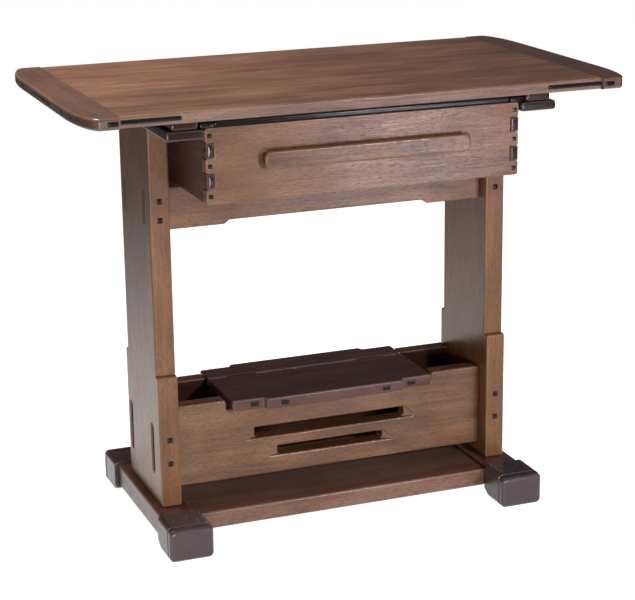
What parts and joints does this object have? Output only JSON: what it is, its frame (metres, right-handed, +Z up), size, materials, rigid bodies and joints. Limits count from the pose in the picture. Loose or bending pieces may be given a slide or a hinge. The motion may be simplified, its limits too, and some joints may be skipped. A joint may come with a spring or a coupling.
{
  "type": "serving table",
  "caption": "Trestle serving table with slab legs, breadboard-ended top, hung drawer and a lidded box between the legs.",
  "frame": {"origin": "on the floor, under the middle of the top", "axes": "+X along the top to the right as seen from the drawer side, -Y to the front where the drawer opens, +Z up"},
  "size_m": [0.9166, 0.519, 0.74],
  "materials": {
    "mahogany": "oiled and rubbed, satin",
    "dark_mahogany": "dark stained, satin",
    "ebony": "polished",
    "drawer_wood": "plain waxed",
    "brass": "aged",
    "steel": "bare"
  },
  "bodies": {
    "table": {"apron_front": "mahogany", "apron_rear": "mahogany", "bearer_flange_left": "mahogany", "bearer_flange_right": "mahogany", "bearer_neck_left": "mahogany", "bearer_neck_right": "mahogany", "bearer_screw_left_front": "steel", "bearer_screw_left_rear": "steel", "bearer_screw_right_front": "steel", "bearer_screw_right_rear": "steel", "box_floor": "drawer_wood", "box_rail_front": "mahogany", "box_rail_rear": "mahogany", "breadboard_end_left": "mahogany", "breadboard_end_right": "mahogany", "breadboard_spline_left_front": "ebony", "breadboard_spline_left_rear": "ebony", "breadboard_spline_right_front": "ebony", "breadboard_spline_right_rear": "ebony", "drawer_stop_left": "mahogany", "drawer_stop_right": "mahogany", "foot_beam_left": "mahogany", "foot_beam_right": "mahogany", "hinge_leaf_fixed_left": "brass", "hinge_leaf_fixed_right": "brass", "leg_left": "mahogany", "leg_peg_left_1": "ebony", "leg_peg_left_2": "ebony", "leg_peg_left_3": "ebony", "leg_peg_left_4": "ebony", "leg_peg_right_1": "ebony", "leg_peg_right_2": "ebony", "leg_peg_right_3": "ebony", "leg_peg_right_4": "ebony", "leg_right": "mahogany", "lid_strip_rear": "dark_mahogany", "shelf_board": "mahogany", "toe_left_front": "dark_mahogany", "toe_left_rear": "dark_mahogany", "toe_right_front": "dark_mahogany", "toe_right_rear": "dark_mahogany", "top_panel": "mahogany"},
    "drawer": {"drawer_back": "drawer_wood", "drawer_bottom": "drawer_wood", "drawer_front": "mahogany", "drawer_pull": "mahogany", "drawer_runner_left": "ebony", "drawer_runner_right": "ebony", "drawer_side_left": "mahogany", "drawer_side_right": "mahogany", "drawer_top_strip": "ebony"},
    "lid": {"hinge_leaf_lid_left": "brass", "hinge_leaf_lid_right": "brass", "lid_board": "dark_mahogany", "lid_peg_1": "ebony", "lid_peg_2": "ebony", "lid_peg_3": "ebony", "lid_peg_4": "ebony"}
  },
  "joints": [
    {"name": "drawer_slide", "type": "slide", "parent": "table", "child": "drawer", "axis": [0, -1, 0], "range_m": [0, 0.26]},
    {"name": "lid_hinge", "type": "hinge", "parent": "table", "child": "lid", "pos_m": [0, 0.05, 0.2125], "axis": [-1, 0, 0], "range_deg": [0, 95]}
  ]
}
